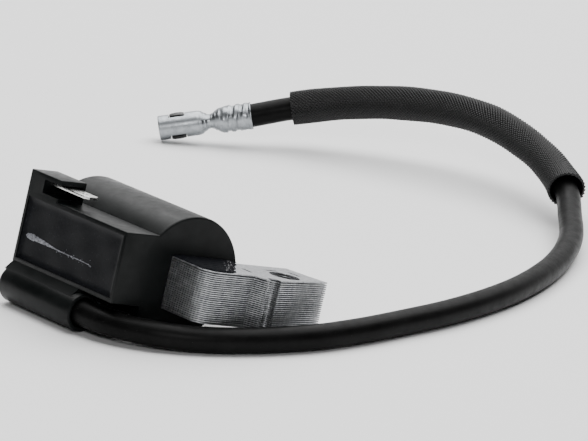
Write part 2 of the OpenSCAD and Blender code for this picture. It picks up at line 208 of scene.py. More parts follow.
def moulded_plastic():
    material, tree, shader = new_material("moulded_plastic", (0.005, 0.006, 0.006), 0.36, specular=0.15)
    cloud = noise(tree, 9, detail=4)
    clouded = remap(tree, cloud, 0.35, 0.7, 0, 1)
    body = mix_color(tree, clouded, (0.002, 0.0028, 0.0028), (0.006, 0.007, 0.007))
    dusty = mix_color(tree, specks(tree, 0.13, 0.10), body, (0.06, 0.06, 0.055))
    tree.links.new(dusty, shader.inputs["Base Color"])
    tree.links.new(remap(tree, noise(tree, 2.5, detail=5), 0.3, 0.75, 0.30, 0.46),
                   shader.inputs["Roughness"])
    add_bump(tree, shader, noise(tree, 0.35, detail=3), 0.012)
    add_bump(tree, shader, noise(tree, 6, detail=2), 0.05, 0.5)
    return material


def cast_resin(name="cast_resin", rough=0.42, specular=0.10):
    material, tree, shader = new_material(name, (0.006, 0.007, 0.009), rough, specular=specular)
    grain = remap(tree, noise(tree, 0.55, detail=6, rough=0.75), 0.42, 0.68, 0, 1)
    body = mix_color(tree, grain, (0.002, 0.0023, 0.003), (0.009, 0.010, 0.013))
    cloudy = mix_color(tree, remap(tree, noise(tree, 11), 0.35, 0.7, 0, 0.55), body, (0.0025, 0.003, 0.004))
    dusty = mix_color(tree, specks(tree, 0.12, 0.25), cloudy, (0.06, 0.065, 0.075))
    tree.links.new(dusty, shader.inputs["Base Color"])
    tree.links.new(remap(tree, grain, 0, 1, rough - 0.08, rough + 0.13), shader.inputs["Roughness"])
    add_bump(tree, shader, noise(tree, 0.8, detail=4), 0.03)
    return material


def smeared_resin():
    material, tree, shader = new_material("smeared_resin", (0.3, 0.31, 0.33), 0.6)
    patch = remap(tree, noise(tree, 0.7, detail=5, rough=0.7), 0.35, 0.65, 0, 1)
    tree.links.new(mix_color(tree, patch, (0.05, 0.052, 0.06), (0.30, 0.31, 0.34)),
                   shader.inputs["Base Color"])
    add_bump(tree, shader, noise(tree, 0.4, detail=4), 0.05)
    return material


def sheared_steel():
    """Punched silicon steel: each plate has its own tone, with fine streaks across its cut edge."""
    dark, light = (0.17, 0.175, 0.19), (0.64, 0.65, 0.66)
    material, tree, shader = new_material("sheared_steel", light, 0.34, metal=0.85)
    plate = tree.nodes.new("ShaderNodeNewGeometry").outputs["Random Per Island"]
    streak = noise(tree, 0.9, detail=4, stretch=(1, 1, 0.45), in_coil=True, rough=0.7)
    tone = mix_color(tree, remap(tree, streak, 0.3, 0.75, 0, 1), light, dark)
    varied = mix_color(tree, remap(tree, plate, 0, 1, 0, 0.5), tone, dark)
    tree.links.new(varied, shader.inputs["Base Color"])
    tree.links.new(remap(tree, noise(tree, 1.2, detail=4, in_coil=True), 0.3, 0.7, 0.28, 0.5),
                   shader.inputs["Roughness"])
    add_bump(tree, shader, streak, 0.02)
    return material


def black_rubber():
    material, tree, shader = new_material("black_rubber", (0.004, 0.004, 0.004), 0.4, specular=0.08)
    cloud = remap(tree, noise(tree, 14, detail=5, rough=0.65), 0.35, 0.7, 0, 1)
    body = mix_color(tree, cloud, (0.0012, 0.0012, 0.0012), (0.005, 0.005, 0.005))
    dusty = mix_color(tree, specks(tree, 0.12, 0.12), body, (0.06, 0.06, 0.058))
    tree.links.new(dusty, shader.inputs["Base Color"])
    tree.links.new(remap(tree, noise(tree, 3, detail=6, rough=0.7), 0.3, 0.75, 0.32, 0.52),
                   shader.inputs["Roughness"])
    add_bump(tree, shader, noise(tree, 0.5, detail=4), 0.02)
    return material


def braid_yarn():
    material, tree, shader = new_material("braid_yarn", (0.006, 0.006, 0.006), 0.3, specular=0.3)
    fibre = noise(tree, 0.16, detail=3, rough=0.7)
    bright = remap(tree, fibre, 0.4, 0.66, 0, 1)
    yarn = mix_color(tree, bright, (0.001, 0.001, 0.001), (0.008, 0.008, 0.0085))
    tree.links.new(yarn, shader.inputs["Base Color"])
    tree.links.new(remap(tree, fibre, 0.3, 0.7, 0.24, 0.45), shader.inputs["Roughness"])
    add_bump(tree, shader, fibre, 0.04)
    return material


def tin_plate(name="tin_plate", color=(0.37, 0.39, 0.41), rough=(0.28, 0.46)):
    material, tree, shader = new_material(name, color, 0.3, metal=1.0)
    mottle = noise(tree, 1.8, detail=6, rough=0.7)
    dull = tuple(0.72 * c for c in color)
    tree.links.new(mix_color(tree, remap(tree, mottle, 0.4, 0.72, 0, 1), color, dull),
                   shader.inputs["Base Color"])
    tree.links.new(remap(tree, mottle, 0.3, 0.7, *rough), shader.inputs["Roughness"])
    add_bump(tree, shader, noise(tree, 0.5, detail=4), 0.012)
    return material


def black_oxide():
    material, tree, shader = new_material("black_oxide", (0.02, 0.02, 0.021), 0.35)
    worn = remap(tree, noise(tree, 0.8, detail=5), 0.5, 0.75, 0, 1)
    tree.links.new(mix_color(tree, worn, (0.003, 0.003, 0.003), (0.02, 0.02, 0.02)),
                   shader.inputs["Base Color"])
    return material


def wound_wire():
    """Copper turns that run round the bar, one line every third of a millimetre."""
    wire_mm = 0.33
    material, tree, shader = new_material("wound_wire", (0.6, 0.25, 0.1), 0.3, metal=0.9)
    turns = tree.nodes.new("ShaderNodeTexWave")
    turns.inputs["Scale"].default_value = 1 / (wire_mm * MM) / 6.28
    turns.inputs["Distortion"].default_value = 0.3
    tree.links.new(position(tree), turns.inputs["Vector"])
    tree.links.new(mix_color(tree, turns.outputs["Fac"], (0.25, 0.09, 0.03), (0.75, 0.36, 0.16)),
                   shader.inputs["Base Color"])
    add_bump(tree, shader, turns.outputs["Fac"], 0.08)
    return material


def mottled(name, low, high, rough, size_mm, metal=0.0, depth_mm=0.02):
    """A plain moulded, printed or plated finish whose colour wanders between low and high."""
    material, tree, shader = new_material(name, high, rough, metal)
    cloud = noise(tree, size_mm, detail=4)
    tree.links.new(mix_color(tree, remap(tree, cloud, 0.35, 0.7, 0, 1), low, high),
                   shader.inputs["Base Color"])
    tree.links.new(remap(tree, cloud, 0.3, 0.7, rough - 0.06, rough + 0.08), shader.inputs["Roughness"])
    add_bump(tree, shader, noise(tree, size_mm / 5, detail=3), depth_mm)
    return material


# ---- mesh helpers ----

def to_object(name, mesh, material, body="coil", replaced=(), smooth_deg=35):
    mesh.name = name
    mesh.materials.clear()
    mesh.materials.append(material)
    mesh.polygons.foreach_set("use_smooth", [True] * len(mesh.polygons))
    if smooth_deg < 180:
        mesh.set_sharp_from_angle(angle=radians(smooth_deg))
    piece = bpy.data.objects.new(name, mesh)
    bpy.context.scene.collection.objects.link(piece)
    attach(piece, body)
    if replaced:
        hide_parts(*replaced)
    return piece


def mesh_from(bm, pose=None):
    mesh = bpy.data.meshes.new("mesh")
    bmesh.ops.recalc_face_normals(bm, faces=bm.faces)
    bm.to_mesh(mesh)
    bm.free()
    if pose is not None:
        mesh.transform(pose)
    return mesh


def arc(cx, cy, r, start_deg, end_deg, steps):
    """Points on an arc, both ends included."""
    turn = [radians(start_deg + (end_deg - start_deg) * i / steps) for i in range(steps + 1)]
    return [(cx + r * cos(a), cy + r * sin(a)) for a in turn]


def box(low, high, bevel=0.0):
    """A box between two corners, with its edges rounded where bevel is given."""
    bm = bmesh.new()
    size = [h - l for l, h in zip(low, high)]
    centre = [(h + l) / 2 for l, h in zip(low, high)]
    bmesh.ops.create_cube(bm, size=1, matrix=Matrix.Translation(centre) @ Matrix.Diagonal((*size, 1)))
    if bevel:
        bmesh.ops.bevel(bm, geom=list(bm.edges), offset=bevel, segments=3, profile=0.5, affect="EDGES")
    return bm


def prism(outline, from_x, to_x):
    """An outline of (y, z) points, extruded along the coil's x axis."""
    bm = bmesh.new()
    ends = [[bm.verts.new((x, y, z)) for y, z in outline] for x in (from_x, to_x)]
    bm.faces.new(ends[0])
    bm.faces.new(list(reversed(ends[1])))
    for i in range(len(outline)):
        j = (i + 1) % len(outline)
        bm.faces.new((ends[0][i], ends[0][j], ends[1][j], ends[1][i]))
    return bm


def turned_x(profile, y, z, sides=96):
    """A profile of (x, radius) points turned about a line along x; radius 0 closes an end."""
    bm = bmesh.new()
    turn = [2 * pi * k / sides for k in range(sides)]
    rows = []
    for x, r in profile:
        if r == 0:
            rows.append([bm.verts.new((x, y, z))] * sides)
        else:
            rows.append([bm.verts.new((x, y + r * cos(a), z + r * sin(a))) for a in turn])
    for a, b in zip(rows, rows[1:]):
        for k in range(sides):
            j = (k + 1) % sides
            corners = []
            for v in (a[k], a[j], b[j], b[k]):
                if v not in corners:
                    corners.append(v)
            bm.faces.new(corners)
    return bm


def combined(base, tools, operation):
    """base united with, or cut by, each tool in turn; all are bmeshes in the coil's own axes."""
    def loose(bm):
        piece = bpy.data.objects.new("part", mesh_from(bm))
        bpy.context.scene.collection.objects.link(piece)
        return piece
    target = loose(base) if isinstance(base, bmesh.types.BMesh) else base
    for tool in [loose(t) for t in tools]:
        modifier = target.modifiers.new("join", "BOOLEAN")
        modifier.operation = operation
        modifier.solver = "EXACT"
        modifier.object = tool
        result = bpy.data.meshes.new_from_object(target.evaluated_get(bpy.context.evaluated_depsgraph_get()))
        target.modifiers.clear()
        target.data = result
        bpy.data.objects.remove(tool)
    return target


def finished(target):
    """The mesh of a combined piece, cleaned and put in the coil's resting pose."""
    mesh = target.data
    bpy.data.objects.remove(target)
    bm = bmesh.new()
    bm.from_mesh(mesh)
    bmesh.ops.remove_doubles(bm, verts=bm.verts, dist=1e-4)
    bmesh.ops.dissolve_degenerate(bm, edges=bm.edges, dist=1e-4)
    return mesh_from(bm, COIL_POSE)


def plate(loops, thickness, bevel=0.0):
    """A flat plate in x and y, its first loop outside and the rest holes, its underside at z = 0."""
    curve = bpy.data.curves.new("plate", "CURVE")
    curve.dimensions = "2D"
    curve.fill_mode = "BOTH"
    curve.extrude = thickness / 2 - bevel
    curve.bevel_depth = bevel
    curve.bevel_resolution = 1
    curve.offset = -bevel
    for loop in loops:
        spline = curve.splines.new("POLY")
        spline.points.add(len(loop) - 1)
        spline.use_cyclic_u = True
        for point, (x, y) in zip(spline.points, loop):
            point.co = (x, y, 0, 1)
    holder = bpy.data.objects.new("plate", curve)
    bpy.context.scene.collection.objects.link(holder)
    mesh = bpy.data.meshes.new_from_object(holder.evaluated_get(bpy.context.evaluated_depsgraph_get()))
    bpy.data.objects.remove(holder)
    bm = bmesh.new()
    bm.from_mesh(mesh)
    bmesh.ops.remove_doubles(bm, verts=bm.verts, dist=1e-4)
    bmesh.ops.translate(bm, verts=bm.verts, vec=(0, 0, thickness / 2))
    return bm


# ---- lead, sleeve and terminal: the cord and what is on it ----

def handle(points, i):
    """A third of the way along the curve's slope at a route point."""
    before, after = points[max(i - 1, 0)], points[min(i + 1, len(points) - 1)]
    reach = min((points[i] - before).length or 1, (after - points[i]).length or 1)
    return (after - before).normalized() * reach / 3


def route_curve(first, last, steps):
    """Points along the smooth route between two of its points, steps to each span."""
    line = []
    for i in range(first, last):
        a, b = LEAD_ROUTE[i], LEAD_ROUTE[i + 1]
        ha, hb = a + handle(LEAD_ROUTE, i), b - handle(LEAD_ROUTE, i + 1)
        for k in range(steps):
            t = k / steps
            line.append((1 - t) ** 3 * a + 3 * t * (1 - t) ** 2 * ha + 3 * t * t * (1 - t) * hb + t ** 3 * b)
    return line + [LEAD_ROUTE[last].copy()]


def evenly(line, count):
    """count points at equal distances along a line of points."""
    reach = [0.0]
    for a, b in zip(line, line[1:]):
        reach.append(reach[-1] + (b - a).length)
    spots, j = [], 0
    for i in range(count):
        want = reach[-1] * i / (count - 1)
        while j < len(line) - 2 and reach[j + 1] < want:
            j += 1
        share = (want - reach[j]) / (reach[j + 1] - reach[j])
        spots.append(line[j].lerp(line[j + 1], min(max(share, 0), 1)))
    return spots


def make_lead(material):
    curve = bpy.data.curves.new("plug_lead", "CURVE")
    curve.dimensions = "3D"
    curve.bevel_depth = LEAD_R * MM
    curve.bevel_resolution = 10
    curve.resolution_u = 12
    curve.use_fill_caps = True
    spline = curve.splines.new("BEZIER")
    spline.bezier_points.add(len(LEAD_ROUTE) - 1)
    for i, (knot, point) in enumerate(zip(spline.bezier_points, LEAD_ROUTE)):
        reach = handle(LEAD_ROUTE, i)
        knot.co = point
        knot.handle_left_type = knot.handle_right_type = "FREE"
        knot.handle_left, knot.handle_right = point - reach, point + reach
    curve.materials.append(material)
    lead = bpy.data.objects.new("plug_lead", curve)
    bpy.context.scene.collection.objects.link(lead)
    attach(lead, "coil")
    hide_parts("lead_insulation")
    return lead


def braid_height(around, along):
    """Height from 0 to 1 of two sets of yarns that cross over and under each other."""
    p, q = around + along, around - along
    across_p, across_q = p % 1 - 0.5, q % 1 - 0.5
    over = 1 if (int(p // 1) + int(q // 1)) % 2 == 0 else -1
    yarn_half = 0.42
    yarn_p = sqrt(max(0, 1 - (across_q / yarn_half) ** 2)) * (0.55 + 0.45 * over * cos(pi * across_p))
    yarn_q = sqrt(max(0, 1 - (across_p / yarn_half) ** 2)) * (0.55 - 0.45 * over * cos(pi * across_q))
    return max(yarn_p, yarn_q)


def make_sleeve(material):
    """An open woven tube, loose on the lead, whose lower end opens out a little."""
    cells_around, samples = 30, 6
    sides = cells_around * samples
    line = route_curve(SLEEVE_FIRST, SLEEVE_LAST, 24)
    length = sum((b - a).length for a, b in zip(line, line[1:]))
    rows_count = int(length / MM / (2 * pi * SLEEVE_R) * sides) + 1
    centres = evenly(line, rows_count)
    yarn_t, wall, flare_most, flare_reach = 0.7, 0.9, 0.5, 14
    bm = bmesh.new()
    outside, inside = [], []
    for j, centre in enumerate(centres):
        ahead, behind = centres[min(j + 1, rows_count - 1)], centres[max(j - 1, 0)]
        tangent = (ahead - behind).normalized()
        side = Vector((0, 0, 1)).cross(tangent).normalized()
        up = tangent.cross(side)
        share = j / (rows_count - 1)
        flare = flare_most * max(0, 1 - share * length / MM / flare_reach) ** 2
        slack = 0.12 * sin(share * 21) + 0.08 * sin(share * 47 + 1)
        base = SLEEVE_R - yarn_t - 0.2 + 0.5 * slack
        outer_row, inner_row = [], []
        for k in range(sides):
            angle = 2 * pi * k / sides
            way = cos(angle) * side + sin(angle) * up
            height = braid_height(cells_around * k / sides, cells_around * j / sides)
            swell = flare * (1 + 0.9 * sin(angle))
            outer_row.append(bm.verts.new(centre + MM * (base + swell + yarn_t * height) * way))
            if k % samples == 0:
                inner_row.append(bm.verts.new(centre + MM * (base + swell + yarn_t - wall) * way))
        outside.append(outer_row)
        if j % samples == 0 or j == rows_count - 1:
            inside.append((j, inner_row))
        else:
            for v in inner_row:
                bm.verts.remove(v)
    for a, b in zip(outside, outside[1:]):
        for k in range(sides):
            bm.faces.new((a[k], a[(k + 1) % sides], b[(k + 1) % sides], b[k]))
    for (_, a), (_, b) in zip(inside, inside[1:]):
        n = len(a)
        for k in range(n):
            bm.faces.new((b[k], b[(k + 1) % n], a[(k + 1) % n], a[k]))
    for outer_row, (_, inner_row) in ((outside[0], inside[0]), (outside[-1], inside[-1])):
        n = len(inner_row)
        for k in range(n):
            rim = [outer_row[(k * samples + s) % sides] for s in range(samples + 1)]
            bm.faces.new(rim + [inner_row[(k + 1) % n], inner_row[k]])
    return to_object("woven_sleeve_braid", mesh_from(bm), material,
                     replaced=["woven_sleeve"], smooth_deg=180)


TERM_PROFILE = [
    (0.0, 3.62), (0.3, 3.7), (11.6, 3.7), (12.8, 3.55), (13.9, 3.0), (14.9, 2.5), (15.5, 2.42),
    (16.2, 2.6), (17.2, 3.15), (18.4, 3.65), (19.7, 3.95), (20.8, 4.06), (21.5, 3.72), (22.1, 3.76),
    (22.8, 4.1), (23.5, 4.1), (24.2, 3.72), (24.8, 3.76), (25.4, 4.1), (26.5, 4.1), (27.1, 3.93),
    (27.7, 4.1), (28.0, 4.1)]


def profile_radius(t):
    for (t0, r0), (t1, r1) in zip(TERM_PROFILE, TERM_PROFILE[1:]):
        if t <= t1:
            share = (t - t0) / (t1 - t0)
            return r0 + (r1 - r0) * share * share * (3 - 2 * share)
    return TERM_PROFILE[-1][1]


def on_terminal(t, angle_deg, r):
    """A point at t along the terminal from its open end; angle 0 is level and near, 90 at the top."""
    a, heading, rise = radians(angle_deg), radians(TERM_HEADING), radians(TERM_RISE)
    along = Vector((cos(rise) * cos(heading), cos(rise) * sin(heading), sin(rise)))
    near = Vector((sin(heading), -cos(heading), 0))
    top = near.cross(along)
    return TERM_OPEN_END + MM * (t * along + r * cos(a) * near + r * sin(a) * top)


def rolled_sheet(name, material, body, replaced, ts, angles, radius, is_open, thickness, closed):
    """A sheet on a grid of stations and angles, with openings left out, thickened inwards."""
    bm = bmesh.new()
    rows = [[bm.verts.new(on_terminal(t, a, radius(t, a))) for a in angles] for t in ts]
    spans = len(angles) if closed else len(angles) - 1
    for i in range(len(ts) - 1):
        for k in range(spans):
            j = (k + 1) % len(angles)
            middle = angles[k] + 0.5 * ((angles[j] - angles[k]) % 360)
            if not is_open((ts[i] + ts[i + 1]) / 2, middle):
                bm.faces.new((rows[i][k], rows[i + 1][k], rows[i + 1][j], rows[i][j]))
    for v in [v for v in bm.verts if not v.link_faces]:
        bm.verts.remove(v)
    piece = to_object(name, mesh_from(bm), material, body, replaced, smooth_deg=180)
    solid = piece.modifiers.new("sheet", "SOLIDIFY")
    solid.thickness = thickness * MM
    solid.offset = -1
    solid.use_even_offset = True
    edge = piece.modifiers.new("edge", "BEVEL")
    edge.width = 0.1 * MM
    edge.segments = 2
    edge.limit_method = "ANGLE"
    edge.angle_limit = radians(60)
    return piece


def off_window(angle_deg):
    """Degrees from the middle of the nearer of the two windows."""
    return abs((angle_deg - WINDOW_TURN) % 180 - 90)


def make_terminal(material):
    """A rolled sheet: plain tube with two windows, pinched neck, and a barrel crimped in slanted ridges."""
    windows = ((3.2, 8.2, 42.5), (16.5, 17.2, 10.0))
    seam_deg, seam_half = 215.0, 1.5
    neck_t, neck_reach = 15.5, 3.1

    def is_open(t, angle):
        in_window = any(t0 < t < t1 and off_window(angle) < half for t0, t1, half in windows)
        return in_window or abs(angle - seam_deg) < seam_half

    def radius(t, angle):
        fade = min(max((t - 18) / 3, 0), 1) * min(1, (TERM_L - t) / 2)
        slant = 0.9 * sin(radians(angle - WINDOW_TURN)) * fade
        pinch = max(0, 1 - abs(t - neck_t) / neck_reach)
        flat = 1 - 0.12 * pinch * cos(2 * radians(off_window(angle)))
        crumple = 0.05 * sin(5 * radians(angle) + 1.7 * t) * min(max((t - 16) / 3, 0), 1)
        return profile_radius(t - slant) * flat + crumple

    ts = [TERM_L * i / 220 for i in range(221)]
    angles = [2.5 * k for k in range(144)]
    return rolled_sheet("rolled_terminal", material, "coil", ["terminal_barrel"],
                        ts, angles, radius, is_open, SHEET_T, closed=True)


def make_jaw(name, body, centre_deg, material, replaced):
    """One half of the spring clip: a curved plate with a slot, standing in the terminal's window."""
    half_deg, slot_half, slot_from, slot_to = 36.0, 9.0, 4.6, 6.8
    t0, t1, end_r, bulge, jaw_t = 3.5, 7.9, 3.75, 0.3, 0.7
    middle, half = 5.7, 2.2

    def is_open(t, angle):
        return slot_from < t < slot_to and abs(angle - centre_deg) < slot_half

    def radius(t, angle):
        return end_r + bulge * max(0, 1 - ((t - middle) / half) ** 2)

    ts = [t0 + (t1 - t0) * i / 30 for i in range(31)]
    angles = [centre_deg - half_deg + 2 * half_deg * k / 40 for k in range(41)]
    return rolled_sheet(name, material, body, replaced,
                        ts, angles, radius, is_open, jaw_t, closed=False)


# ---- case ----

def boss_profile():
    nose, lip = 2.0, 0.45
    rounded = [(nose - x, BOSS_R - nose + y) for x, y in arc(0, 0, nose, 0, 90, 8)]
    mouth = [(BOSS_L - lip, BOSS_R), (BOSS_L - 0.12, BOSS_R - 0.15), (BOSS_L, BOSS_R - lip)]
    return [(0, 0)] + rounded + mouth + [(BOSS_L, 0)]


def make_case(material):
    round_edge = 0.6
    can = [(0, 0), (0, CAN_R - round_edge)]
    can += [(round_edge - x, CAN_R - round_edge + y) for x, y in arc(0, 0, round_edge, 0, 90, 5)][1:]
    can += [(CASE_L - x, r) for x, r in reversed(can)]
    body = prism([(0, 0), (CAN_Y, 0), (CAN_Y, CASE_H), (0, CASE_H)], 0, CASE_L)
    bmesh.ops.bevel(body, geom=list(body.edges), offset=0.35, segments=3, profile=0.5, affect="EDGES")
    hood = box((0, 0, CASE_H - 3), (HOOD_W, HOOD_D, HOOD_TOP), 0.3)
    heel = box((0, *HEEL_LOW), (CASE_L, *HEEL_HIGH), 0.3)
    web = prism([(0.2, 0.6), (0, 0.1), WEB_TANGENT, (BOSS_Y, BOSS_Z), (5.5, -3.8), (7, 0.6)], 0.5, WEB_END)
    shell = combined(turned_x(can, CAN_Y, CAN_Z, 160), [body, hood, heel, web], "UNION")
    shell = combined(shell, [turned_x(boss_profile(), BOSS_Y, BOSS_Z)], "UNION")
    cavity = box((WALL, -1, WALL), (CASE_L - WALL, CAN_Y, CASE_H - WALL))
    drum_r, far_x, past = CAN_R - 1, CASE_L - WALL, 0.1
    drum = turned_x([(WALL, 0), (WALL, drum_r), (far_x, drum_r), (far_x, 0)], CAN_Y, CAN_Z)
    pocket = box((POCKET_X, -1, POCKET_Z), (HOOD_W + 1, HOOD_D - HOOD_BACK, HOOD_TOP - HOOD_ROOF), 0.3)
    bar_slot = box((-1, CAN_Y - BAR_W / 2 - FIT, -FIT), (CASE_L + 1, CAN_Y + BAR_W / 2 + FIT, CORE_T + FIT))
    bore = turned_x([(BORE_ROOT_X, 0), (BORE_ROOT_X, LEAD_R + 0.1), (BOSS_L - 1.2, LEAD_R + 0.1),
                     (BOSS_L + past, LEAD_R + 0.75), (BOSS_L + past, 0)], BOSS_Y, BOSS_Z)
    tab_low, tab_high = TAB_Y - TAB_W / 2 - FIT, TAB_Y + TAB_W / 2 + FIT
    tab_slot = box((TAB_ROOT_X - FIT, tab_low, TAB_Z - FIT), (8, tab_high, TAB_Z + TAB_T + FIT))
    tab_foot = box((TAB_ROOT_X - FIT, TAB_Y - 1 - FIT, 15), (TAB_ROOT_X + TAB_T + FIT, TAB_Y + 1 + FIT, 23))
    shell = combined(shell, [cavity, drum, pocket, bar_slot, bore, tab_slot, tab_foot], "DIFFERENCE")
    return to_object("coil_case", finished(shell), material, replaced=["housing"])


def make_potting(material):
    """The resin's free face, drawn up a little where it meets the walls."""
    bm = bmesh.new()
    low_x, high_x, low_z, high_z = WALL + 0.02, CASE_L - WALL - 0.02, WALL + 0.02, CASE_H - WALL - 0.02
    nx, nz, face_y, back_y, climb = 88, 36, 0.75, 10.4, 0.4
    grid = []
    for i in range(nx + 1):
        x = low_x + (high_x - low_x) * i / nx
        row = []
        for j in range(nz + 1):
            z = low_z + (high_z - low_z) * j / nz
            edge = min(x - low_x, high_x - x, z - low_z, high_z - z)
            ripple = 0.04 * sin(0.5 * x + 0.3 * z) + 0.03 * sin(0.9 * z - 0.35 * x)
            drawn_up = climb * max(0, 1 - edge / 1.6) ** 2
            row.append(bm.verts.new((x, face_y - drawn_up + ripple * min(edge, 1), z)))
        grid.append(row)
    for i in range(nx):
        for j in range(nz):
            bm.faces.new((grid[i][j], grid[i + 1][j], grid[i + 1][j + 1], grid[i][j + 1]))
    border = ([grid[i][0] for i in range(nx)] + [grid[nx][j] for j in range(nz)]
              + [grid[i][nz] for i in range(nx, 0, -1)] + [grid[0][j] for j in range(nz, 0, -1)])
    back = [bm.verts.new((v.co.x, back_y, v.co.z)) for v in border]
    for i in range(len(border)):
        j = (i + 1) % len(border)
        bm.faces.new((border[i], back[i], back[j], border[j]))
    bm.faces.new(back)
    return to_object("resin_fill", mesh_from(bm, COIL_POSE), material,
                     replaced=["potting"], smooth_deg=50)


def make_smear(material):
    """A drip of resin that dried on the face: a round head, a thin tail and a few crumbs beyond it."""
    bm = bmesh.new()
    rng = random.Random(7)
    stations, sides, length, face_y = 90, 10, 29.5, 0.78
    rows = []
    for i in range(stations + 1):
        s = i / stations
        x = 3.0 + length * s
        z = 7.9 - 0.9 * s + 0.10 * sin(9 * s)
        head = sqrt(s / 0.05) if s < 0.05 else 1
        width = head * (0.95 * max(0, 1 - s / 0.5) ** 1.3 + 0.20 * (1 - 0.5 * s)) * rng.uniform(0.8, 1.2)
        rise = 0.28 * (1 - 0.75 * s) * rng.uniform(0.8, 1.2)
        width = max(width, 0.02)
        rows.append([bm.verts.new((x, face_y - rise * sin(pi * k / sides), z + width * cos(pi * k / sides)))
                     for k in range(sides + 1)])
    for a, b in zip(rows, rows[1:]):
        for k in range(sides):
            bm.faces.new((a[k], a[k + 1], b[k + 1], b[k]))
        bm.faces.new((a[sides], a[0], b[0], b[sides]))
    bm.faces.new(rows[0])
    bm.faces.new(rows[-1])
    add_crumbs(bm, rng, 40, lambda: (rng.uniform(17, 33), 0.72, 7.1 + rng.gauss(0, 0.5)), 0.08, 0.2)
    return to_object("resin_smear", mesh_from(bm, COIL_POSE), material, smooth_deg=60)


def add_crumbs(bm, rng, count, where, smallest, largest):
    """Little uneven lumps at places that where() gives."""
    for _ in range(count):
        size = rng.uniform(smallest, largest)
        stretch = [size * rng.uniform(low, high) for low, high in ((0.6, 1.5), (0.6, 1.5), (0.4, 0.8))]
        place = Matrix.Translation(where()) @ Matrix.Diagonal((*stretch, 1))
        bmesh.ops.create_icosphere(bm, subdivisions=1, radius=1, matrix=place)


def make_painted_reflection_sheet(material):
    """A black sheet on top of the right-hand leg beside the can, with crumbs set in it: a painted reflection
    of the can's dark end face, which the leg's top mirrors at this low angle.
    """
    bm = bmesh.new()
    rng = random.Random(11)
    nx, ny, overlap = 48, 64, 0.15
    x0, x1, y0 = CASE_L - overlap, CASE_L + 15.55, CAN_Y - BAR_W / 2
    corner_x, corner_y, corner_r = CASE_L + 11.1, y0 + 4.5, 4.4
    rows = []
    for i in range(nx + 1):
        x = x0 + (x1 - x0) * i / nx
        beyond = max(0, x - corner_x)
        low = corner_y - sqrt(max(0, corner_r ** 2 - beyond ** 2)) if beyond else y0 + 0.1
        high = 38.4 - 12.6 * (x - x0) / (x1 - x0) + 0.5 * sin(1.3 * x) + 0.3 * sin(3.1 * x)
        row = []
        for j in range(ny + 1):
            y = low + (high - low) * j / ny
            rim = min(j, ny - j, nx - i) / 4
            lump = 0.12 * sin(1.7 * x + 0.9 * y) * sin(1.1 * y - 0.6 * x) + 0.05 * rng.uniform(-1, 1)
            row.append(bm.verts.new((x, y, CORE_T + 0.02 + (0.42 + lump) * min(1, rim) ** 0.5)))
        rows.append(row)
    for a, b in zip(rows, rows[1:]):
        for j in range(ny):
            bm.faces.new((a[j], b[j], b[j + 1], a[j + 1]))
    border = ([rows[i][0] for i in range(nx)] + [rows[nx][j] for j in range(ny)]
              + [rows[i][ny] for i in range(nx, 0, -1)] + [rows[0][j] for j in range(ny, 0, -1)])
    base = [bm.verts.new((v.co.x, v.co.y, CORE_T - 0.1)) for v in border]
    for i in range(len(border)):
        j = (i + 1) % len(border)
        bm.faces.new((border[i], base[i], base[j], border[j]))
    bm.faces.new(base)
    return to_object("painted_reflection_sheet", mesh_from(bm, COIL_POSE), material, smooth_deg=50)


def make_shiny_crumbs(material):
    """Glassy crumbs of resin on the black sheet of painted reflection, near its free edge."""
    bm = bmesh.new()
    rng = random.Random(5)

    def spot():
        x = rng.uniform(1, 15)
        return (CASE_L + x, 37.2 - 0.8 * x + rng.gauss(-1.2, 0.7), CORE_T + 0.45)

    add_crumbs(bm, rng, 30, spot, 0.12, 0.32)
    return to_object("resin_crumbs", mesh_from(bm, COIL_POSE), material, smooth_deg=20)


def make_tab(material):
    """The flat blade that the stop-switch wire pushes onto."""
    tip, low, high, end, root = 1.2, TAB_Y - TAB_W / 2, TAB_Y + TAB_W / 2, TAB_TIP_X, TAB_ROOT_X
    catch_x, catch_r = 18.2, 0.8
    outline = [(root, low), (end - tip, low), (end, low + tip),
               (end, high - tip), (end - tip, high), (root, high)]
    blade = plate([outline, arc(catch_x, TAB_Y, catch_r, 0, 350, 35)], TAB_T, 0.12)
    bmesh.ops.translate(blade, verts=blade.verts, vec=(0, 0, TAB_Z))
    foot = box((root, TAB_Y - 1, TAB_FOOT_Z), (root + TAB_T, TAB_Y + 1, TAB_Z + 0.1))
    mesh = finished(combined(blade, [foot], "UNION"))
    return to_object("stop_switch_tab", mesh, material, replaced=["kill_terminal"])


# ---- core ----

def leg_outline():
    """The right-hand leg's outline, with x measured from the end of the case."""
    neck, shoulder, corner, notch_y, notch_r = 15.6, 19.4, 4.5, 37.1, 1.8
    near, far = CAN_Y - BAR_W / 2, CAN_Y + BAR_W / 2
    wheel_x = -CASE_L / 2
    wheel_y = TIP_IN[1] + sqrt(FLYWHEEL_R ** 2 - (TIP_IN[0] - wheel_x) ** 2)
    face_from = degrees(asin((TIP_OUT_X - wheel_x) / FLYWHEEL_R)) - 90
    face_to = degrees(asin((TIP_IN[0] - wheel_x) / FLYWHEEL_R)) - 90
    seam = 0.15
    return ([(BAR_OVER + seam, near)]
            + arc(neck - corner, near + corner, corner, -90, 0, 14)
            + [(neck, 32.6), (shoulder, 34.8), (shoulder, notch_y - notch_r)]
            + arc(shoulder - 0.7, notch_y, notch_r, -90, -270, 16)
            + [(shoulder, notch_y + notch_r), (shoulder, 39.2)]
            + arc(wheel_x, wheel_y, FLYWHEEL_R, face_from, face_to, 12)
            + [(TIP_IN[0], far), (BAR_OVER + seam, far)])


def interlock(x, y, turn_deg):
    """The outline of a pressed mark that locks one plate into the next."""
    length, width = 4.0, 0.9
    turn = Matrix.Rotation(radians(turn_deg), 2)
    corners = ((-1, -1), (1, -1), (1, 1), (-1, 1))
    return [tuple(Vector((x, y)) + turn @ Vector((sx * length / 2, sy * width / 2)))
            for sx, sy in corners]


